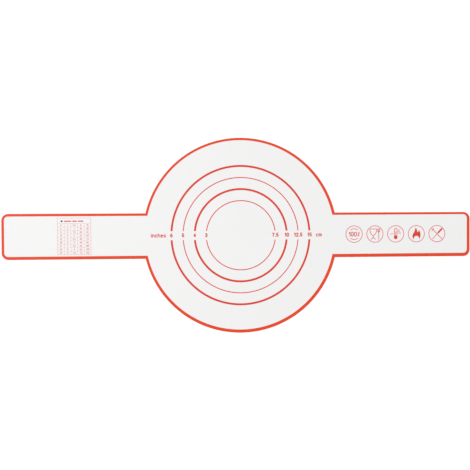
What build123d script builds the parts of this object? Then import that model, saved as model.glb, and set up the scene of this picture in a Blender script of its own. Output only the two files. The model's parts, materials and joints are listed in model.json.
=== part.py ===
from build123d import *
import math
import os

# Silicone baking mat: a round disc with a lifting strap on each side, lying flat.
# All lengths are in millimetres. The origin is the middle of the disc on the underside,
# +X runs along the right strap, +Y towards the rear and +Z up.

# Layers of the sheet, from the bottom up
coat_thickness = 0.2
mesh_thickness = 0.3
ink_thickness = 0.08

# Measuring rings: the printed scale counts an inch as 25 mm across the ring
printed_inch = 25.0
ring_inches = (3, 4, 5, 6)
heavy_ring_inches = (4, 6)
heavy_line = 2.1
fine_line = 0.95
ring_break = 9.7
centimetre_labels = {3: "7.5", 4: "10", 5: "12.5", 6: "15"}

# Outline
disc_margin = 30.6
strap_length = 148.6
strap_width = 48.8
strap_corner = 7.2

# Red edge band: a wall round the cut edge and a lip on the top face
band_wall = 0.8
band_lip = 2.95

# The lip was moulded a little off towards the left and the rear, and turned by a hair
lip_offset_left = 0.25
lip_offset_rear = 0.45
lip_turn_degrees = 0.05

# The prints are off the same way, by less
print_offset_left = 0.15
print_offset_rear = 0.25

# Folds: where the straps bend up from the disc, and where their ends bend over
lift_fold_margin = 3.0
grip_length = 48.6
fold_clearance = 0.15
lift_up_degrees = 120.0
lift_down_degrees = 90.0
grip_swing_degrees = 150.0

# Ring sizes in figures
figure_height = 4.4
figure_rise = 0.3
figure_width_share = 0.6
figure_stroke_share = 0.212
word_stroke_share = 0.175
figure_space_share = 0.1
word_gap = 4.6

# Conversion table on the left strap: 1 to 9 tablespoons in the second column, with the same in
# teaspoons, fluid ounces, grams of flour and millilitres beside them
table_inset = 10.0
table_margin = 2.0
table_width = 35.0
table_factors = (3, 1, 0.5, 8, 15)
table_rows = 9
table_header = 5.7
table_border = 0.2
table_line = 0.1
table_figure_share = 0.5
table_stroke_share = 0.12
heading_drop = 0.45
heading_dot_diameter = 2.0
heading_bar_width = 1.1
heading_dot_share = 0.125
heading_bar_shares = ((0.21, 0.4), (0.46, 0.57), (0.63, 0.76))

# Round pictograms on the right strap
icon_root_margin = 4.2
icon_gap = 4.5
icon_line = 0.6
icon_rise = 0.4
icons_on_strap = 4
hundred_height_share = 0.27
hundred_stroke_share = 0.16
hundred_arc_share = 0.315
hundred_arc_degrees = 80.0

# Cutting tools reach this far past the sheet
overrun = 1.0

# Heights and plan sizes that follow
mesh_bottom = coat_thickness
mesh_top = mesh_bottom + mesh_thickness
sheet_top = mesh_top + coat_thickness
ink_top = sheet_top + ink_thickness
sheet_middle = sheet_top / 2

largest_ring_radius = max(ring_inches) * printed_inch / 2
disc_radius = largest_ring_radius + disc_margin
tip_x = disc_radius + strap_length
lift_fold_x = disc_radius + lift_fold_margin
grip_fold_x = tip_x - grip_length

icon_pitch = (grip_fold_x - lift_fold_x - icon_root_margin) / icons_on_strap
icon_diameter = icon_pitch - icon_gap
table_height = strap_width - 2 * band_lip - 2 * table_margin
table_row = (table_height - table_header) / table_rows
table_column = table_width / len(table_factors)
table_figure_height = table_row * table_figure_share


def plan_outline(inset):
    """The mat's outline seen from above, drawn inwards all round by inset."""
    disc = Circle(disc_radius - inset)
    straps = RectangleRounded(2 * (tip_x - inset), strap_width - 2 * inset, strap_corner - inset)
    return disc + straps


def layer(face, bottom, top):
    """A flat layer of the given outline between two heights."""
    return extrude(Pos(0, 0, bottom) * face, top - bottom)


def fold_runs(up_degrees, down_degrees):
    """How far a fold's two bevels run back from its ridge at the cutting tool's top and bottom."""
    up_run = overrun * math.tan(math.radians(up_degrees / 2))
    down_run = overrun * math.tan(math.radians(down_degrees / 2))
    return up_run, down_run


lift_runs = fold_runs(lift_up_degrees, lift_down_degrees)
grip_runs = fold_runs(grip_swing_degrees, grip_swing_degrees)


def panel_end(fold_x, runs, side):
    """Three points of a panel's bevelled end: the material lies on the given side of the fold."""
    up_run, down_run = runs
    ridge = fold_x + side * fold_clearance
    return [
        (ridge + side * down_run, sheet_middle - overrun),
        (ridge, sheet_middle),
        (ridge + side * up_run, sheet_middle + overrun),
    ]


def tip_end():
    """Two points beyond the strap's tip, where no fold cuts the panel."""
    beyond = tip_x + overrun
    return [(beyond, sheet_middle - overrun), (beyond, sheet_middle + overrun)]


def panel_block(low_end, high_end):
    """The block that one panel is cut from: its side view, carried across the mat's width."""
    outline = Polyline(*low_end, *reversed(high_end), close=True)
    side_view = Plane.XZ * make_face(outline)
    reach = disc_radius + overrun
    return extrude(side_view, amount=reach, both=True)


def mirrored(points):
    """The same points on the left side."""
    return [(-x, z) for x, z in points]


strap_block = panel_block(
    panel_end(lift_fold_x, lift_runs, 1),
    panel_end(grip_fold_x, grip_runs, -1),
)
grip_block = panel_block(panel_end(grip_fold_x, grip_runs, 1), tip_end())
panels = {
    "disc": panel_block(
        mirrored(panel_end(lift_fold_x, lift_runs, -1)),
        panel_end(lift_fold_x, lift_runs, -1),
    ),
    "left_strap": mirror(strap_block, Plane.YZ),
    "left_grip": mirror(grip_block, Plane.YZ),
    "right_strap": strap_block,
    "right_grip": grip_block,
}

# The laminate: mesh between two white coats, inside the wall of the edge band
sheet_outline = plan_outline(band_wall)
laminate = {
    "bottom_coat": layer(sheet_outline, 0, mesh_bottom),
    "mesh_core": layer(sheet_outline, mesh_bottom, mesh_top),
    "top_coat": layer(sheet_outline, mesh_top, sheet_top),
}

# The edge band
lip_place = Pos(-lip_offset_left, lip_offset_rear) * Rot(0, 0, lip_turn_degrees)
white_window = lip_place * plan_outline(band_lip)
band_wall_ring = layer(plan_outline(0) - sheet_outline, 0, sheet_top)
band_lip_ring = layer(plan_outline(0) - white_window, sheet_top, ink_top)
edge_band = band_wall_ring + band_lip_ring

nodes = {}


def cut_panel(solid, panel):
    """What lies on one panel of a solid that runs across the folds."""
    return solid & panels[panel]


for panel in panels:
    for coat, sheet in laminate.items():
        nodes[f"{panel}_{coat}"] = cut_panel(sheet, panel)

# The band is one loop on the real mat: rear and front lengths on the disc and the straps,
# and one bow round each grip
half_plan = Rectangle(2 * (tip_x + overrun), disc_radius + overrun, align=(Align.CENTER, Align.MIN))
rear_half = layer(half_plan, -overrun, overrun)
for panel in ("disc", "left_strap", "right_strap"):
    panel_band = cut_panel(edge_band, panel)
    nodes[f"{panel}_rear_edge_band"] = panel_band & rear_half
    nodes[f"{panel}_front_edge_band"] = panel_band - rear_half
for panel in ("left_grip", "right_grip"):
    nodes[f"{panel}_edge_band"] = cut_panel(edge_band, panel)


print_place = Pos(-print_offset_left, print_offset_rear)


def printed(face):
    """A print of silicone ink on the top coat."""
    return layer(print_place * face, sheet_top, ink_top)


def ring_face(inches):
    """One measuring ring, broken at the left and at the right for its size."""
    radius = inches * printed_inch / 2
    line = heavy_line if inches in heavy_ring_inches else fine_line
    outer_radius = radius + line / 2
    ring = Circle(outer_radius) - Circle(outer_radius - line)
    return ring - Rectangle(2 * (outer_radius + overrun), ring_break)


for inches in ring_inches:
    nodes[f"measuring_ring_{inches}_inch"] = printed(ring_face(inches))

# Strokes of the plain figures and letters. The points are shares of a figure's width and height:
# one point is a dot, two are a straight bar and three are an arc from the first to the last.
glyph_shares = {
    "0": [
        [(0, 0.74), (0.5, 1), (1, 0.74)], [(1, 0.74), (1, 0.26)],
        [(1, 0.26), (0.5, 0), (0, 0.26)], [(0, 0.26), (0, 0.74)],
    ],
    "1": [[(0.1, 0.75), (0.6, 1)], [(0.6, 1), (0.6, 0)]],
    "2": [
        [(0, 0.78), (0.5, 1), (1, 0.72)], [(1, 0.72), (0.92, 0.54), (0.72, 0.4)],
        [(0.72, 0.4), (0, 0)], [(0, 0), (1, 0)],
    ],
    "3": [[(0.05, 0.86), (0.92, 0.77), (0.45, 0.54)], [(0.45, 0.54), (1, 0.27), (0, 0.15)]],
    "4": [[(0.75, 0), (0.75, 1)], [(0.75, 1), (0, 0.3)], [(0, 0.3), (1, 0.3)]],
    "5": [[(0.9, 1), (0.15, 1)], [(0.15, 1), (0.05, 0.5)], [(0.05, 0.5), (1, 0.29), (0, 0.14)]],
    "6": [
        [(0.85, 0.98), (0.2, 0.78), (0, 0.28)],
        [(0, 0.28), (0.5, 0.56), (1, 0.28)], [(1, 0.28), (0.5, 0), (0, 0.28)],
    ],
    "7": [[(0, 1), (1, 1)], [(1, 1), (0.35, 0)]],
    "8": [
        [(0.08, 0.77), (0.5, 1), (0.92, 0.77)], [(0.92, 0.77), (0.5, 0.54), (0.08, 0.77)],
        [(0, 0.27), (0.5, 0.54), (1, 0.27)], [(1, 0.27), (0.5, 0), (0, 0.27)],
    ],
    "9": [
        [(0.15, 0.02), (0.8, 0.22), (1, 0.72)],
        [(1, 0.72), (0.5, 0.44), (0, 0.72)], [(0, 0.72), (0.5, 1), (1, 0.72)],
    ],
    ".": [[(0, 0)]],
    "%": [[(0.15, 0), (0.85, 1)], [(0.1, 0.9)], [(0.9, 0.1)]],
    "c": [
        [(0.95, 0.56), (0.42, 0.7), (0, 0.42)], [(0, 0.42), (0, 0.28)],
        [(0, 0.28), (0.42, 0), (0.95, 0.14)],
    ],
    "e": [[(0, 0.37), (1, 0.37)], [(1, 0.37), (0.5, 0.7), (0, 0.37)], [(0, 0.37), (0.38, 0), (0.9, 0.05)]],
    "h": [[(0, 0), (0, 1)], [(0, 0.44), (0.5, 0.7), (1, 0.44)], [(1, 0.44), (1, 0)]],
    "i": [[(0, 0), (0, 0.68)], [(0, 0.97)]],
    "m": [
        [(0, 0), (0, 0.7)], [(0, 0.52), (0.35, 0.7), (0.7, 0.52)], [(0.7, 0.52), (0.7, 0)],
        [(0.7, 0.52), (1.05, 0.7), (1.4, 0.52)], [(1.4, 0.52), (1.4, 0)],
    ],
    "n": [[(0, 0), (0, 0.7)], [(0, 0.44), (0.5, 0.7), (1, 0.44)], [(1, 0.44), (1, 0)]],
    "s": [
        [(0.95, 0.58), (0.5, 0.7), (0.06, 0.52)], [(0.06, 0.52), (0.2, 0.4), (0.5, 0.35)],
        [(0.5, 0.35), (0.8, 0.3), (0.94, 0.18)], [(0.94, 0.18), (0.5, 0), (0.05, 0.12)],
    ],
}


def bar(start, end, width):
    """A short bar with round ends, from one point to another."""
    run = Vector(*end) - Vector(*start)
    middle = (Vector(*start) + Vector(*end)) / 2
    turn = math.degrees(math.atan2(run.Y, run.X))
    return Pos(middle.X, middle.Y) * Rot(0, 0, turn) * SlotCenterToCenter(run.length, width)


def stroke_mark(points, width):
    """One dot, bar or arc drawn with a round pen, for one, two or three points."""
    if len(points) == 1:
        return Pos(*points[0]) * Circle(width / 2)
    if len(points) == 2:
        return bar(*points, width)
    return SlotArc(ThreePointArc(*points), width)


def drawn(strokes, width):
    """Strokes of one, two or three points, joined to one drawing."""
    marks = [stroke_mark(points, width) for points in strokes]
    return marks[0] + marks[1:]


def figures(text, height, stroke_share):
    """A row of plain figures or letters from x = 0, centred on y = 0, and the row's length."""
    stroke = height * stroke_share
    wide = height * figure_width_share - stroke
    tall = height - stroke
    space = height * figure_space_share
    left = 0
    faces = []
    for mark in text:
        start_x = left + stroke / 2
        strokes = glyph_shares[mark]
        placed = [[(start_x + x * wide, (y - 0.5) * tall) for x, y in points] for points in strokes]
        faces += drawn(placed, stroke).faces()
        reach = max(x for points in strokes for x, y in points)
        left += reach * wide + stroke + space
    return Sketch(children=faces), left - space


def row_of_sizes(labels, unit, side):
    """Ring sizes, each centred on its ring's line on one side of the disc, and the unit beyond."""
    faces = []
    beyond = 0
    for inches, label in labels.items():
        face, length = figures(label, figure_height, figure_stroke_share)
        ring_x = side * inches * printed_inch / 2
        faces += (Pos(ring_x - length / 2, figure_rise) * face).faces()
        beyond = abs(ring_x) + length / 2
    face, length = figures(unit, figure_height, word_stroke_share)
    unit_x = side * (beyond + word_gap + length / 2)
    faces += (Pos(unit_x - length / 2, figure_rise) * face).faces()
    return Sketch(children=faces)


inch_labels = {inches: str(inches) for inches in ring_inches}
nodes["inch_figures"] = printed(row_of_sizes(inch_labels, "inches", -1))
nodes["centimetre_figures"] = printed(row_of_sizes(centimetre_labels, "cm", 1))

# Conversion table: a grid of cells under one wide heading cell
table_x = -(grip_fold_x - table_inset - table_width / 2)
table_place = Pos(table_x, 0)
header_y = (table_height - table_header) / 2
heading_y = header_y - heading_drop


def cell(left, top, width, height):
    """One cell of the table, measured from the table's own middle."""
    return Pos(left + width / 2, top - height / 2) * Rectangle(width - table_line, height - table_line)


table_left = -table_width / 2
table_top = table_height / 2
table_frame = Rectangle(table_width + table_border, table_height + table_border)
table_cells = [cell(table_left, table_top, table_width, table_header)]
table_figures = []
for column, factor in enumerate(table_factors):
    column_left = table_left + column * table_column
    for row in range(table_rows):
        row_top = table_top - table_header - row * table_row
        table_cells.append(cell(column_left, row_top, table_column, table_row))
        face, length = figures(f"{(row + 1) * factor:g}", table_figure_height, table_stroke_share)
        figures_place = Pos(column_left + (table_column - length) / 2, row_top - table_row / 2)
        table_figures += (figures_place * face).faces()
nodes["conversion_table_grid"] = printed(table_place * (table_frame - table_cells))
nodes["conversion_table_figures"] = printed(table_place * Sketch(children=table_figures))

# The heading has a dot in dark ink and three plain bars
heading_dot_x = (heading_dot_share - 0.5) * table_width
heading_dot = Pos(heading_dot_x, heading_y) * Circle(heading_dot_diameter / 2)
nodes["conversion_table_dot"] = printed(table_place * heading_dot)
heading_bars = []
for shares in heading_bar_shares:
    start, end = [((share - 0.5) * table_width, heading_y) for share in shares]
    heading_bars += bar(start, end, heading_bar_width).faces()
nodes["conversion_table_heading"] = printed(table_place * Sketch(children=heading_bars))


def sized(points, size):
    """Points given as shares, brought to a size."""
    return [(x * size, y * size) for x, y in points]


def arc_bar(radius, start_degrees, sweep_degrees, width):
    """A curved bar round the origin."""
    return SlotArc(CenterArc((0, 0), radius, start_degrees, sweep_degrees), width)


def hundred_symbol():
    """The plain figures 100% between two curved bars."""
    face, length = figures("100%", icon_diameter * hundred_height_share, hundred_stroke_share)
    radius = icon_diameter * hundred_arc_share
    symbol = Pos(-length / 2, 0) * face
    for middle_degrees in (90, 270):
        start_degrees = middle_degrees - hundred_arc_degrees / 2
        symbol += arc_bar(radius, start_degrees, hundred_arc_degrees, icon_line)
    return symbol


def line_symbol(stroke_shares):
    """A symbol drawn in thin strokes."""
    return drawn([sized(points, icon_diameter) for points in stroke_shares], icon_line)


# Strokes of the symbols, as shares of the icon's diameter from its middle
glass_and_fork_shares = [
    [(-0.29, 0.30), (0.09, 0.30)],
    [(-0.29, 0.30), (-0.24, 0.03), (-0.10, -0.10)],
    [(0.09, 0.30), (0.04, 0.03), (-0.10, -0.10)],
    [(-0.10, -0.10), (-0.10, -0.20)],
    [(-0.10, -0.20), (-0.23, -0.31)],
    [(-0.10, -0.20), (0.03, -0.31)],
    [(0.17, 0.32), (0.17, 0.18)],
    [(0.23, 0.32), (0.23, 0.11)],
    [(0.29, 0.32), (0.29, 0.18)],
    [(0.17, 0.18), (0.23, 0.11), (0.29, 0.18)],
    [(0.23, 0.11), (0.23, -0.32)],
]
thermometer_shares = [
    [(-0.08, -0.10), (-0.08, 0.25)],
    [(-0.08, 0.25), (0, 0.33), (0.08, 0.25)],
    [(0.08, 0.25), (0.08, -0.10)],
    [(0, -0.20), (0, 0.14)],
    [(0.15, 0.05), (0.30, 0.05)],
    [(0.15, 0.14), (0.23, 0.14)],
    [(0.15, 0.23), (0.23, 0.23)],
    [(-0.29, 0), (-0.17, 0)],
]
thermometer_bulb_share = 0.11
thermometer_bulb_place_shares = (0, -0.2)
flame_shares = [
    (-0.15, -0.33), (-0.23, -0.15), (-0.15, 0.05), (-0.09, 0.19), (-0.04, 0.38), (0.04, 0.21),
    (0.06, 0.08), (0.11, 0.12), (0.15, 0.23), (0.25, -0.07), (0.17, -0.33), (0, -0.12),
]
fork_and_knife_shares = [
    [(0.32, -0.32), (-0.17, 0.17)],
    [(-0.20, 0.32), (-0.23, 0.23), (-0.32, 0.20)],
    [(-0.17, 0.17), (-0.31, 0.31)],
    [(0.07, 0.05), (-0.26, -0.31)],
]
knife_handle_shares = [(0.09, 0.07), (0.29, 0.28)]
knife_handle_width_share = 0.1


def glass_and_fork_symbol():
    return line_symbol(glass_and_fork_shares)


def thermometer_symbol():
    bulb_x, bulb_y = [share * icon_diameter for share in thermometer_bulb_place_shares]
    bulb = Pos(bulb_x, bulb_y) * Circle(thermometer_bulb_share * icon_diameter)
    return line_symbol(thermometer_shares) + bulb


def flame_symbol():
    """A filled flame of two tongues, each stretch an arc through three points."""
    points = sized(flame_shares, icon_diameter)
    arcs = []
    for first in range(0, len(points), 2):
        last = (first + 2) % len(points)
        arcs.append(ThreePointArc(points[first], points[first + 1], points[last]))
    return Sketch(children=[make_face(arcs)])


def fork_and_knife_symbol():
    handle = bar(*sized(knife_handle_shares, icon_diameter), knife_handle_width_share * icon_diameter)
    return line_symbol(fork_and_knife_shares) + handle


icon_symbols = {
    "icon_hundred": hundred_symbol,
    "icon_glass_and_fork": glass_and_fork_symbol,
    "icon_thermometer": thermometer_symbol,
    "icon_flame": flame_symbol,
    "icon_fork_and_knife": fork_and_knife_symbol,
}
icon_circle = Circle(icon_diameter / 2) - Circle(icon_diameter / 2 - icon_line)
for index, (name, symbol) in enumerate(icon_symbols.items()):
    steps_from_fold = index - icons_on_strap + 0.5
    icon_x = grip_fold_x + steps_from_fold * icon_pitch
    icon_face = Pos(icon_x, icon_rise) * Sketch(children=[*icon_circle.faces(), *symbol().faces()])
    nodes[name] = printed(icon_face)

os.makedirs("parts", exist_ok=True)
for name, solid in nodes.items():
    export_step(solid, f"parts/{name}.step")
print(f"{len(nodes)} pieces, {2 * tip_x:.1f} mm long, disc {2 * disc_radius:.1f} mm across")
print(f"lift folds at x = {lift_fold_x:.2f} mm, grip folds at x = {grip_fold_x:.2f} mm")
print(f"fold axes at z = {sheet_middle:.3f} mm")
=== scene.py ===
# %% [markdown]
# # A silicone baking mat with two lifting straps
# The mat is one flat laminate: woven glass mesh between two coats of white silicone, with a red
# silicone band moulded round the whole cut edge and measuring rings printed on top. It lies on a
# worktop and is looked at from straight above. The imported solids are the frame: everything here
# is fitted to them, in metres, and nothing is placed by eye.

# %% Load the frame
import json
import math

import bmesh
import bpy
from mathutils import Matrix, Vector


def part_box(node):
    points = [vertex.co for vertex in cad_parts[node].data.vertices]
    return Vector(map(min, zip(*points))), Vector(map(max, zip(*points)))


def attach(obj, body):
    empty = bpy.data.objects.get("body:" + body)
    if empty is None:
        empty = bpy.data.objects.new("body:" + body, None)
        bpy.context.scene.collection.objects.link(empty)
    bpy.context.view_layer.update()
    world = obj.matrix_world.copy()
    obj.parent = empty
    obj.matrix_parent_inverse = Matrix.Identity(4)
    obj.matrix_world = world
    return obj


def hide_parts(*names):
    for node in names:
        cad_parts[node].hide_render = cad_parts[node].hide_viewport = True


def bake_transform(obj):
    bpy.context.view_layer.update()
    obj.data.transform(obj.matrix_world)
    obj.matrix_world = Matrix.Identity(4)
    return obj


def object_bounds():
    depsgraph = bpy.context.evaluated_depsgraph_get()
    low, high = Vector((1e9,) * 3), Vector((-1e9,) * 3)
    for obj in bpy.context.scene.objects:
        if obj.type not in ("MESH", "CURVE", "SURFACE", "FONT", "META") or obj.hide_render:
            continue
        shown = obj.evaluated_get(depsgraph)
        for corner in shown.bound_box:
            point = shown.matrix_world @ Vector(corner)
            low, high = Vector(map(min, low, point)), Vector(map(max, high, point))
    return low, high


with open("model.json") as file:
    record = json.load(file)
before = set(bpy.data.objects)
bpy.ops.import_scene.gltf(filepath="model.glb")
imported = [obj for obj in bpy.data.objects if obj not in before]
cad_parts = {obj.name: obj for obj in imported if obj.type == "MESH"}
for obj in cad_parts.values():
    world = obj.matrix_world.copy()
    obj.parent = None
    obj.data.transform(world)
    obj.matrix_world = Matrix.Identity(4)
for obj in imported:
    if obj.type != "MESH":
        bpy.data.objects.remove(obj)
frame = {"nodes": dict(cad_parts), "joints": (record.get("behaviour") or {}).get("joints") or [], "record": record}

cad_low, cad_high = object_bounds()

# %% [markdown]
# ## The mat's sizes
# A maker draws a mat like this once and cuts everything to it. The outline's sizes are read from
# the solids, so that the visible sheet cannot drift away from them. Only what the solids do not
# say by themselves is written here: the corner, the lip and how far its inner edge is shifted,
# and the soft rounding of the edge.

# %% Read the sizes
mm = 0.001
cubic_cm = (10 * mm) ** 3
tiny = 0.001 * mm
sides = {"left": -1, "right": 1}

sheet_low, sheet_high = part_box("disc_top_coat")
band_top = cad_high.z
sheet_top = sheet_high.z
disc_radius = cad_high.y
tip_x = cad_high.x
half_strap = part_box("right_grip_edge_band")[1].y
band_wall = half_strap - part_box("right_grip_top_coat")[1].y
corner_radius = 7.2 * mm
band_lip = 2.95 * mm
lip_offset_left = 0.25 * mm
lip_offset_rear = 0.45 * mm
lip_turn = math.radians(0.05)
edge_round = 0.22 * mm

fold_x = {joint["name"]: joint["pos_m"][0] for joint in frame["joints"]}
lift_fold_x = fold_x["right_lift"]
grip_fold_x = fold_x["right_grip_fold"]
print(f"mat {2 * tip_x / mm:.1f} x {2 * disc_radius / mm:.1f} mm, sheet {sheet_top / mm:.2f} mm thick")
print(f"edge band {band_wall / mm:.2f} mm thick at the cut, {band_top / mm:.2f} mm high")

# %% [markdown]
# ## Working in edit mode from code
# Modelling by hand is a loop of three moves: pick some faces, edges or points, run one tool on
# them, pick again. These three helpers do the picking. Everything is deselected first, because a
# tool acts on all that is selected, and the parts are picked by their place, as the eye would.

# %% Helpers for picking
def only(piece):
    """Make this the one selected piece, in object mode."""
    if bpy.context.object and bpy.context.object.mode != "OBJECT":
        bpy.ops.object.mode_set(mode="OBJECT")
    bpy.ops.object.select_all(action="DESELECT")
    piece.select_set(True)
    bpy.context.view_layer.objects.active = piece


def edit(piece, kind):
    """Open one piece in edit mode, ready to pick points, edges or faces."""
    only(piece)
    bpy.ops.object.mode_set(mode="EDIT")
    bpy.ops.mesh.select_mode(type=kind)
    bpy.ops.mesh.select_all(action="DESELECT")


def pick(piece, kind, wanted):
    """Select the points, edges or faces that wanted says yes to, and nothing else."""
    edit(piece, kind)
    mesh = bmesh.from_edit_mesh(piece.data)
    kinds = {"VERT": mesh.verts, "EDGE": mesh.edges, "FACE": mesh.faces}
    picked = [part for part in kinds[kind] if wanted(part)]
    for part in picked:
        part.select_set(True)
    bmesh.update_edit_mesh(piece.data)
    return len(picked)


def copy(piece, name):
    """A copy with a mesh of its own."""
    only(piece)
    bpy.ops.object.duplicate()
    twin = bpy.context.object
    twin.name = name
    twin.data.name = name
    return twin


def is_closed(piece):
    """Whether every edge of the piece has exactly two faces."""
    mesh = bmesh.new()
    mesh.from_mesh(piece.data)
    closed = all(len(edge.link_faces) == 2 for edge in mesh.edges)
    mesh.free()
    return closed


def volume(piece):
    """The piece's volume, which comes out negative if its faces point inwards."""
    mesh = bmesh.new()
    mesh.from_mesh(piece.data)
    size = mesh.calc_volume(signed=True)
    mesh.free()
    return size


# %% [markdown]
# ## The cutting pattern
# The real mat is stamped from a roll with one steel-rule die. The die's outline is a disc with a
# strap on each side. Here it is drawn as a flat face: a many-sided disc is cut off square at each
# side where its chord is as long as the strap is wide, and that chord is pulled out to the tip.
# Starting from one closed outline keeps the sheet and the band from ever disagreeing.

# %% Draw the pattern
outline_points = 720
chord_x = math.sqrt(disc_radius ** 2 - half_strap ** 2)

bpy.ops.mesh.primitive_circle_add(vertices=outline_points, radius=disc_radius, fill_type="NGON")
pattern = bpy.context.object
pattern.name = "cutting_pattern"
for side in sides.values():
    edit(pattern, "FACE")
    bpy.ops.mesh.select_all(action="SELECT")
    bpy.ops.mesh.bisect(
        plane_co=(side * chord_x, 0, 0), plane_no=(side, 0, 0), threshold=tiny, clear_outer=True,
    )
    chords = pick(
        pattern, "EDGE", lambda edge: all(abs(v.co.x - side * chord_x) < tiny for v in edge.verts)
    )
    bpy.ops.mesh.extrude_edges_move(
        TRANSFORM_OT_translate={"value": (side * (tip_x - chord_x), 0, 0)}
    )
    print("chord edges pulled out:", chords)

# %% [markdown]
# The four corners of the tips are rounded so that nothing catches on a hand or an oven rack. A
# vertex bevel with many segments does what the die's bent corner does.

# %% Round the corners
corner_segments = 18
corners = pick(pattern, "VERT", lambda v: abs(abs(v.co.x) - tip_x) < tiny)
bpy.ops.mesh.bevel(
    offset=corner_radius, offset_type="OFFSET", segments=corner_segments, affect="VERTICES",
)
pick(pattern, "EDGE", lambda edge: len(edge.link_faces) == 2)
bpy.ops.mesh.dissolve_edges(use_verts=False)
bpy.ops.object.mode_set(mode="OBJECT")
print("corners rounded:", corners, "points in the pattern:", len(pattern.data.vertices))

# %% [markdown]
# ## The white sheet
# Glass mesh is drawn through liquid silicone and cured, so the two coats and the mesh between
# them are one skin to the eye. The band later takes 0.8 mm of its edge, so the pattern is drawn
# in by that much, and the flat face is pulled up to the sheet's thickness.

# %% Make the sheet
def flat_face_closed_up(piece, height):
    """Pull every face of a flat pattern up into a closed slab with its faces outwards."""
    edit(piece, "FACE")
    bpy.ops.mesh.select_all(action="SELECT")
    bpy.ops.mesh.extrude_region_move(TRANSFORM_OT_translate={"value": (0, 0, height)})
    bpy.ops.mesh.select_all(action="SELECT")
    bpy.ops.mesh.normals_make_consistent(inside=False)
    bpy.ops.object.mode_set(mode="OBJECT")


white_sheet = copy(pattern, "white_sheet")
edit(white_sheet, "FACE")
bpy.ops.mesh.select_all(action="SELECT")
bpy.ops.mesh.inset(thickness=band_wall, use_boundary=True, use_even_offset=True)
bpy.ops.mesh.select_all(action="INVERT")
bpy.ops.mesh.delete(type="FACE")
flat_face_closed_up(white_sheet, sheet_top)
print("sheet closed:", is_closed(white_sheet), f"volume {volume(white_sheet) / cubic_cm:.2f} cm3")

# %% [markdown]
# ## The red edge band
# The cut edge would fray and soak up grease, so red silicone is moulded round it. In section it
# is an L: a wall 0.8 mm thick outside the cut, and a thin lip that laps 2.15 mm over the top of the
# sheet. The lip's inner edge is shifted a little towards the rear and the left and turned by a
# hair, so the border is drawn thin at the rear and thick at the front, most of all at the right.

# %% Make the band's slab and soften its outer edges
round_segments = 3
flat_enough = 0.99


def is_flat(face):
    """Whether a face looks straight up or down, or very nearly."""
    return abs(face.normal.z) > flat_enough


def is_rim(edge):
    """An edge between the slab's side wall and its top or bottom."""
    return len({is_flat(face) for face in edge.link_faces}) == 2


red_band = copy(pattern, "red_band")
flat_face_closed_up(red_band, band_top)
rims = pick(red_band, "EDGE", is_rim)
bpy.ops.mesh.bevel(
    offset=edge_round, offset_type="OFFSET", segments=round_segments, affect="EDGES",
    clamp_overlap=False,
)
print("rim edges softened:", rims)

# %% [markdown]
# The sheet's seat is pressed up into the slab from below: an inset leaves the wall, and the face
# inside it goes up by the sheet's thickness. A second inset up there, and one on the top face,
# draw the lip's inner edge twice, one above the other. Both are turned and pushed off alike, the
# two middle faces are taken out, and the two loops left open are bridged. That is the window the
# white shows through.

# %% Press the sheet's seat and cut the window


def pick_face_level(height, up):
    """Pick the slab's flat faces at one height that look up or down."""
    return pick(
        red_band, "FACE",
        lambda face: is_flat(face)
        and (face.normal.z > 0) == up
        and abs(face.calc_center_median().z - height) < tiny,
    )


def open_window(width):
    """Inset the picked face to the lip's inner edge, shift and turn that by the lip's offset, and open it."""
    bpy.ops.mesh.inset(thickness=width, use_boundary=True, use_even_offset=True)
    bpy.ops.transform.rotate(value=-lip_turn, orient_axis="Z", center_override=(0, 0, 0))
    bpy.ops.transform.translate(value=(-lip_offset_left, lip_offset_rear, 0))
    bpy.ops.mesh.delete(type="FACE")


pick_face_level(0, up=False)
bpy.ops.mesh.inset(thickness=band_wall - edge_round, use_boundary=True, use_even_offset=True)
bpy.ops.mesh.extrude_region_move(TRANSFORM_OT_translate={"value": (0, 0, sheet_top)})
open_window(band_lip - band_wall)

pick_face_level(band_top, up=True)
open_window(band_lip - edge_round)

open_edges = pick(red_band, "EDGE", lambda edge: len(edge.link_faces) == 1)
bpy.ops.mesh.bridge_edge_loops()
bpy.ops.mesh.select_all(action="SELECT")
bpy.ops.mesh.normals_make_consistent(inside=False)
bpy.ops.object.mode_set(mode="OBJECT")
print("open edges bridged:", open_edges, "band closed:", is_closed(red_band))
print(f"band volume {volume(red_band) / cubic_cm:.2f} cm3")

# %% [markdown]
# ## Five stretches, cut where the mat would bend
# The real mat has no hinges: it bends wherever a hand lifts it. The frame gives it two folds a
# side, one at the strap's root and one for the grip at its end. A piece can bend across one joint
# only, so the sheet and the band are each cut into five: the disc, and on each side a root and a
# tip. The cuts lie where nothing bends and nothing is printed, so they never show or open. A root's
# fold cuts lie mostly on the strap's side of its fold. A bend turns round the fold's own line, and
# with as much of it on the disc's side, that side would swing down through the worktop.

# %% Say where the folds and the cuts are
lift_bend_on_disc = 2 * mm
lift_bend_on_strap = 6 * mm
grip_bend_half = 2.1 * mm
lift_bend_cuts = 20
grip_bend_cuts = 14
root_start_x = lift_fold_x - lift_bend_on_disc
tip_start_x = (lift_fold_x + grip_fold_x) / 2


def cut_places(start, end, cuts):
    """Evenly spaced places across a fold, its two ends included."""
    return [start + (end - start) * step / cuts for step in range(cuts + 1)]


lift_cuts = cut_places(root_start_x, lift_fold_x + lift_bend_on_strap, lift_bend_cuts)
grip_cuts = cut_places(grip_fold_x - grip_bend_half, grip_fold_x + grip_bend_half, grip_bend_cuts)
print(f"folds from {lift_cuts[0] / mm:.1f} to {lift_cuts[-1] / mm:.1f} mm", end=" ")
print(f"and from {grip_cuts[0] / mm:.1f} to {grip_cuts[-1] / mm:.1f} mm")

# %% [markdown]
# Each stretch is a copy with what lies beyond its ends cut off and the cut faces filled, so it is
# closed by itself. More cuts across the fold give it enough edges to bend in a smooth curve. Last,
# each piece remembers where its points lay on the flat mat, in a UV map measured in metres. The
# materials read that map, so the weave stays put on the silicone when a strap is lifted.

# %% Cut the stretches
smooth_angle = math.radians(40)


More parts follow.
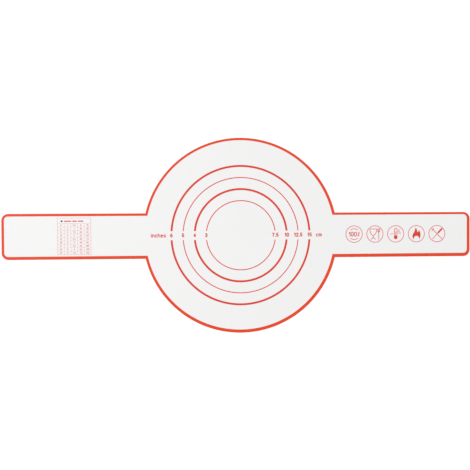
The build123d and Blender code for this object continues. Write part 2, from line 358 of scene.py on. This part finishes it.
def slice_across(x, side, **ends):
    """Cut the piece in edit mode straight across at x, on the given side of the disc."""
    bpy.ops.mesh.select_all(action="SELECT")
    bpy.ops.mesh.bisect(plane_co=(side * x, 0, 0), plane_no=(side, 0, 0), threshold=tiny, **ends)


def stretch(whole, name, side, start=None, end=None, fold_cuts=()):
    """The part of the whole from start to end, measured outwards from the middle."""
    piece = copy(whole, name)
    edit(piece, "FACE")
    if start is not None:
        slice_across(start, side, use_fill=True, clear_inner=True)
    if end is not None:
        slice_across(end, side, use_fill=True, clear_outer=True)
    for x in fold_cuts:
        slice_across(x, side)
    bpy.ops.object.mode_set(mode="OBJECT")
    return piece


def map_flat(piece):
    """Store where each corner of each face lies on the flat mat."""
    flat = piece.data.uv_layers.new(name="flat_mat")
    for loop in piece.data.loops:
        place = piece.data.vertices[loop.vertex_index].co
        flat.data[loop.index].uv = (place.x, place.y)


def finish_shape(piece):
    """Smooth shading on the soft edge only: big flat faces keep their own straight normals."""
    map_flat(piece)
    only(piece)
    bpy.ops.object.shade_smooth_by_angle(angle=smooth_angle)
    weighted = piece.modifiers.new("flat_faces_lead", "WEIGHTED_NORMAL")
    weighted.keep_sharp = True
    bpy.ops.object.modifier_apply(modifier=weighted.name)


stretches = {}
for whole in (white_sheet, red_band):
    middle = stretch(whole, f"{whole.name}_disc", sides["right"], end=root_start_x)
    edit(middle, "FACE")
    slice_across(root_start_x, sides["left"], use_fill=True, clear_outer=True)
    stretches[middle.name] = middle
    for word, side in sides.items():
        root = stretch(
            whole, f"{whole.name}_{word}_root", side, root_start_x, tip_start_x, lift_cuts[1:]
        )
        tip = stretch(whole, f"{whole.name}_{word}_tip", side, tip_start_x, None, grip_cuts)
        stretches[root.name] = root
        stretches[tip.name] = tip
for name, piece in stretches.items():
    finish_shape(piece)
    print(f"{name}: {len(piece.data.polygons)} faces, closed {is_closed(piece)}")
for whole in (pattern, white_sheet, red_band):
    bpy.data.objects.remove(whole)

# %% [markdown]
# ## Join the pieces to the frame
# The disc stretches ride on the disc. The roots and the tips keep their place and ride on no
# body. The solids that the pieces show are hidden: for a white stretch both coats and the mesh
# between them.

# %% Ride and hide the solids
layers = ("bottom_coat", "mesh_core", "top_coat")
nodes_of = {
    "white_sheet": lambda body: [f"{body}_{layer}" for layer in layers],
    "red_band": lambda body: [
        node for node in frame["nodes"] if node.startswith(body) and node.endswith("edge_band")
    ],
}

for kind, nodes_on in nodes_of.items():
    disc_piece = stretches[f"{kind}_disc"]
    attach(disc_piece, "disc")
    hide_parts(*nodes_on("disc"))
    for word, side in sides.items():
        strap, grip = f"{word}_strap", f"{word}_grip"
        root, tip = stretches[f"{kind}_{word}_root"], stretches[f"{kind}_{word}_tip"]
        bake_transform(root)
        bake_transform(tip)
        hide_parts(*nodes_on(strap))
        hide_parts(*nodes_on(strap), *nodes_on(grip))
print("pieces joined to the frame:", len(stretches))

# %% [markdown]


# %% [markdown]
# ## Mixing materials
# A colour is picked the way a screen shows it and has to be turned linear for the light to add up
# right. One helper does that, and one adds a shader node with its settings and its links, so that
# each material below reads as a short list of steps.

# %% Helpers for materials
# A screen's levels follow a straight line near black and a power curve above it
line_end = 0.04045
line_slope = 12.92
curve_offset = 0.055
curve_power = 2.4
hexadecimal = 16
full_level = 255
opaque = 1


def linear(level):
    """A screen's level from 0 to 1 as an amount of light."""
    if level <= line_end:
        return level / line_slope
    return ((level + curve_offset) / (1 + curve_offset)) ** curve_power


def colour(code):
    """A screen colour such as F4F3F3 as linear red, green, blue and alpha."""
    pairs = (code[:2], code[2:4], code[4:])
    return (*[linear(int(pair, hexadecimal) / full_level) for pair in pairs], opaque)


def add(material, kind, settings=None, **inputs):
    """Add a node, set it up, and set or link its inputs by name or number."""
    node = material.node_tree.nodes.new(kind)
    for name, value in (settings or {}).items():
        setattr(node, name, value)
    for name, value in inputs.items():
        key = int(name[1:]) if name[1:].isdigit() else name.replace("_", " ")
        socket = node.inputs[key]
        if isinstance(value, bpy.types.NodeSocket):
            material.node_tree.links.new(value, socket)
        else:
            socket.default_value = value
    return node


def new_material(name):
    """An empty material that is made of nodes."""
    material = bpy.data.materials.new(name)
    material.use_nodes = True
    material.node_tree.nodes.clear()
    return material


# A mix node has several sockets of each name, so those for colours go by number
mixed_colour = 2


def mix(material, share, first, second):
    """A colour between two, by share."""
    node = add(material, "ShaderNodeMix", {"data_type": "RGBA"}, _0=share, _6=first, _7=second)
    return node.outputs[mixed_colour]


def drift(material, share, codes):
    """A colour between two screen colours, by share."""
    first, second = [colour(code) for code in codes]
    return mix(material, share, first, second)


def maths(material, operation, first, second):
    """One step of arithmetic on two values."""
    node = add(material, "ShaderNodeMath", {"operation": operation}, _0=first, _1=second)
    return node.outputs["Value"]


def between(material, share, low, high):
    """A value between two, by share."""
    return maths(material, "ADD", maths(material, "MULTIPLY", share, high - low), low)


def finish_material(material, **inputs):
    """Close the material with one principled shader."""
    shader = add(material, "ShaderNodeBsdfPrincipled", **inputs)
    add(material, "ShaderNodeOutputMaterial", Surface=shader.outputs["BSDF"])
    return material


silicone_ior = 1.41
print("silicone's index of refraction:", silicone_ior)

# %% [markdown]
# ## White silicone over glass mesh
# Cured platinum silicone is a soft, slightly chalky white with a satin bloom and no mirror. The
# glass cloth lies 0.2 mm under it and prints through: threads 1.2 mm apart look a touch whiter
# than the small windows between them and stand up a few hundredths of a millimetre. Two wave
# patterns at right angles make the warp and the weft, at their real pitch. A slow cloudiness
# comes from the coat's uneven thickness, and a very fine grain from the texture of the mould.

# %% Make the white silicone
thread_pitch = 1.2 * mm
thread_relief = 0.03 * mm
thread_wander = 0.6
wander_detail = 1.0
wander_scale = 0.4
grain_size = 0.25 * mm
grain_detail = 2.0
grain_relief = 0.004 * mm
cloud_size = 45 * mm
cloud_detail = 3.0
noise_roughness = 0.55
full_strength = 1.0
wave_length_at_scale_one = math.pi / 10
window_colours = ("F0EFEE", "F3F2F1")
thread_colours = ("F4F3F3", "F7F6F6")
white_roughness = (0.38, 0.5)


def threads(material, plane, direction):
    """Rounded threads side by side, from 0 between them to 1 on their backs."""
    wave = add(
        material, "ShaderNodeTexWave", {"bands_direction": direction},
        Vector=plane, Scale=wave_length_at_scale_one / thread_pitch,
        Distortion=thread_wander, Detail=wander_detail, Detail_Scale=wander_scale,
    )
    return wave.outputs["Fac"]


def clouds(material, plane, size, detail):
    """Soft noise whose spots are about as large as size."""
    noise = add(
        material, "ShaderNodeTexNoise",
        Vector=plane, Scale=1 / size, Detail=detail, Roughness=noise_roughness,
    )
    return noise.outputs["Fac"]


def bump(material, height, relief, normal=None):
    """Turn a pattern from 0 to 1 into relief of a real height."""
    links = {"Normal": normal} if normal else {}
    node = add(
        material, "ShaderNodeBump",
        Height=height, Distance=relief, Strength=full_strength, **links,
    )
    return node.outputs["Normal"]


def flat_plane(material):
    """Places on the flat mat, in metres."""
    return add(material, "ShaderNodeUVMap", {"uv_map": "flat_mat"}).outputs["UV"]


def white_silicone():
    material = new_material("white_silicone_over_glass_mesh")
    plane = flat_plane(material)
    warp = threads(material, plane, "X")
    weft = threads(material, plane, "Y")
    weave = maths(material, "MAXIMUM", warp, weft)
    cloud = clouds(material, plane, cloud_size, cloud_detail)
    between_threads = drift(material, cloud, window_colours)
    over_threads = drift(material, cloud, thread_colours)
    grain = clouds(material, plane, grain_size, grain_detail)
    woven = bump(material, weave, thread_relief)
    return finish_material(
        material,
        Base_Color=mix(material, weave, between_threads, over_threads),
        Roughness=between(material, grain, *white_roughness),
        IOR=silicone_ior,
        Normal=bump(material, grain, grain_relief, woven),
    )


white = white_silicone()
print("white silicone:", len(white.node_tree.nodes), "nodes")

# %% [markdown]
# ## Red silicone
# The band is solid coloured silicone, a warm orange red, a little glossier than the sheet because
# it is cured against a polished mould. Its colour drifts slightly along its length where the dose
# ran thick or thin, and there is no cloth under it.

# %% Make the red silicone
streak_size = 12 * mm
streak_detail = 3.0
polish_size = 0.6 * mm
polish_detail = 2.0
polish_relief = 0.006 * mm
red_colours = ("E23D10", "E84616")
red_roughness = (0.3, 0.4)


def red_silicone():
    material = new_material("red_silicone")
    plane = flat_plane(material)
    streak = clouds(material, plane, streak_size, streak_detail)
    polish = clouds(material, plane, polish_size, polish_detail)
    return finish_material(
        material,
        Base_Color=drift(material, streak, red_colours),
        Roughness=between(material, polish, *red_roughness),
        IOR=silicone_ior,
        Normal=bump(material, polish, polish_relief),
    )


red = red_silicone()
print("red silicone:", len(red.node_tree.nodes), "nodes")

# %% [markdown]
# ## Silicone ink
# The rings, figures, table and pictograms are silk-screened with silicone ink, 0.08 mm thick. Ink
# pressed through a screen is matt, covers a little unevenly, and keeps a trace of the screen's
# own fine mesh. These parts are already the right shape in the frame, so they keep their solids
# and only get this finish. Ink never bends here, so its pattern sits in the object's own space.

# %% Make the inks
screen_pitch = 0.16 * mm
screen_detail = 1.0
screen_relief = 0.005 * mm
coverage_size = 2.5 * mm
coverage_detail = 4.0
red_ink_colours = ("E2412A", "D6311A")
dark_ink_colours = ("4C2E33", "3C262B")
ink_roughness = (0.42, 0.54)


def screen_ink(name, codes):
    """Ink of one colour, given where it lies thin and where it covers in full."""
    material = new_material(name)
    place = add(material, "ShaderNodeTexCoord").outputs["Object"]
    coverage = clouds(material, place, coverage_size, coverage_detail)
    mesh = clouds(material, place, screen_pitch, screen_detail)
    return finish_material(
        material,
        Base_Color=drift(material, coverage, codes),
        Roughness=between(material, coverage, *ink_roughness),
        IOR=silicone_ior,
        Normal=bump(material, mesh, screen_relief),
    )


inks = {
    "red_ink": screen_ink("red_silicone_ink", red_ink_colours),
    "dark_ink": screen_ink("dark_silicone_ink", dark_ink_colours),
}
print("inks:", sorted(inks))

# %% [markdown]
# The sheet and the band take their silicone. The prints are found by the slot that the record gives
# each solid, so that none is left out when one is added.

# %% Put the materials on
for name, piece in stretches.items():
    piece.data.materials.clear()
    piece.data.materials.append(white if name.startswith("white_sheet") else red)

printed = 0
for part in frame["record"]["subparts"]:
    if part["material_slot"] in inks:
        for material_slot in frame["nodes"][part["node"]].material_slots:
            material_slot.material = inks[part["material_slot"]]
        printed += 1
print("printed parts with ink:", printed)

# %% [markdown]
# ## The worktop
# The photograph's background is pure white. The floor is near white and lit like the mat, so it
# keeps the mat's faint contact shadow, and a little glow seen only by the camera and by mirror-like
# rays lifts it to paper white without adding any light to the mat.

# %% Lay the floor
floor_size = 6.0
floor_gap = 0.02 * mm
floor_glow = 0.3
floor_colour = "EFEFEF"
white_light = "FFFFFF"


def seen_directly(material):
    """1 for rays from the camera and for rays off a mirror or through glass, else 0."""
    path = add(material, "ShaderNodeLightPath")
    seen = path.outputs["Is Camera Ray"]
    for name in ("Is Glossy Ray", "Is Transmission Ray"):
        seen = maths(material, "MAXIMUM", seen, path.outputs[name])
    return seen


bpy.ops.mesh.primitive_plane_add(size=floor_size, location=(0, 0, -floor_gap))
floor = bpy.context.object
floor.name = "worktop"
paper = new_material("white_worktop")
lit = add(paper, "ShaderNodeBsdfDiffuse", Color=colour(floor_colour))
glow = add(
    paper, "ShaderNodeEmission", Color=colour(white_light),
    Strength=maths(paper, "MULTIPLY", seen_directly(paper), floor_glow),
)
both = add(paper, "ShaderNodeAddShader", _0=lit.outputs["BSDF"], _1=glow.outputs["Emission"])
add(paper, "ShaderNodeOutputMaterial", Surface=both.outputs["Shader"])
floor.data.materials.append(paper)
print("floor laid,", floor_size, "m across")

# %% [markdown]
# ## Studio light
# White goods are shot in a tent: light from everywhere, with one softbox a little stronger on one
# side. The photograph gets slightly dimmer from left to right, so the softbox hangs at the left.
# Sky and softbox together are set so that a colour comes out about as it was picked.

# %% Hang the lights
sky_level = 0.86
softbox_power = 3.2
softbox_size = 0.9
softbox_place = Vector((-0.75, 0.25, 1.1))

world = bpy.data.worlds.new("light_tent")
bpy.context.scene.world = world
world.use_nodes = True
world.node_tree.nodes.clear()
level = maths(world, "MAXIMUM", seen_directly(world), sky_level)
sky = add(world, "ShaderNodeBackground", Color=colour(white_light), Strength=level)
add(world, "ShaderNodeOutputWorld", Surface=sky.outputs["Background"])

aim = (-softbox_place).to_track_quat("-Z", "Y").to_euler()
bpy.ops.object.light_add(type="AREA", location=softbox_place, rotation=aim)
softbox = bpy.context.object
softbox.name = "softbox"
softbox.data.shape = "SQUARE"
softbox.data.size = softbox_size
softbox.data.energy = softbox_power
print(f"softbox {softbox_place.length:.2f} m from the mat's middle")

# %% [markdown]
# ## The camera
# The photograph looks straight down, from about 0.6 m, with the camera a little to the left and
# to the rear of the mat's middle and turned back towards it. That makes the left strap look
# slightly longer than the right one. Place and turn were worked out from the rings, the strap
# ends and the pictograms, whose real places are known.

# %% Place the camera
camera_lens = 45.0
camera_sensor = 36.0
camera_place = Vector((-44.5, 10.2, 635.9)) * mm
lean_sideways = math.radians(-3.415)
lean_forwards = math.radians(-0.867)
roll = math.radians(-0.323)
matrix_size = 4

bpy.ops.object.camera_add()
camera = bpy.context.object
camera.name = "camera_above"
camera.data.lens = camera_lens
camera.data.sensor_width = camera_sensor
camera.data.clip_start = 10 * mm
turn = (
    Matrix.Rotation(lean_sideways, matrix_size, "Y")
    @ Matrix.Rotation(lean_forwards, matrix_size, "X")
    @ Matrix.Rotation(roll, matrix_size, "Z")
)
camera.matrix_world = Matrix.Translation(camera_place) @ turn
bpy.context.scene.camera = camera
bpy.context.scene.view_settings.view_transform = "Standard"
print(f"camera {camera_place.z:.3f} m above the worktop")

# %% [markdown]
# ## The solids' box
# The visible mat has to fill the same box as the solids. The solids' box is printed.

# %% Print the solids' box
print("CAD box:", [f"{length / mm:.2f}" for length in cad_high - cad_low])
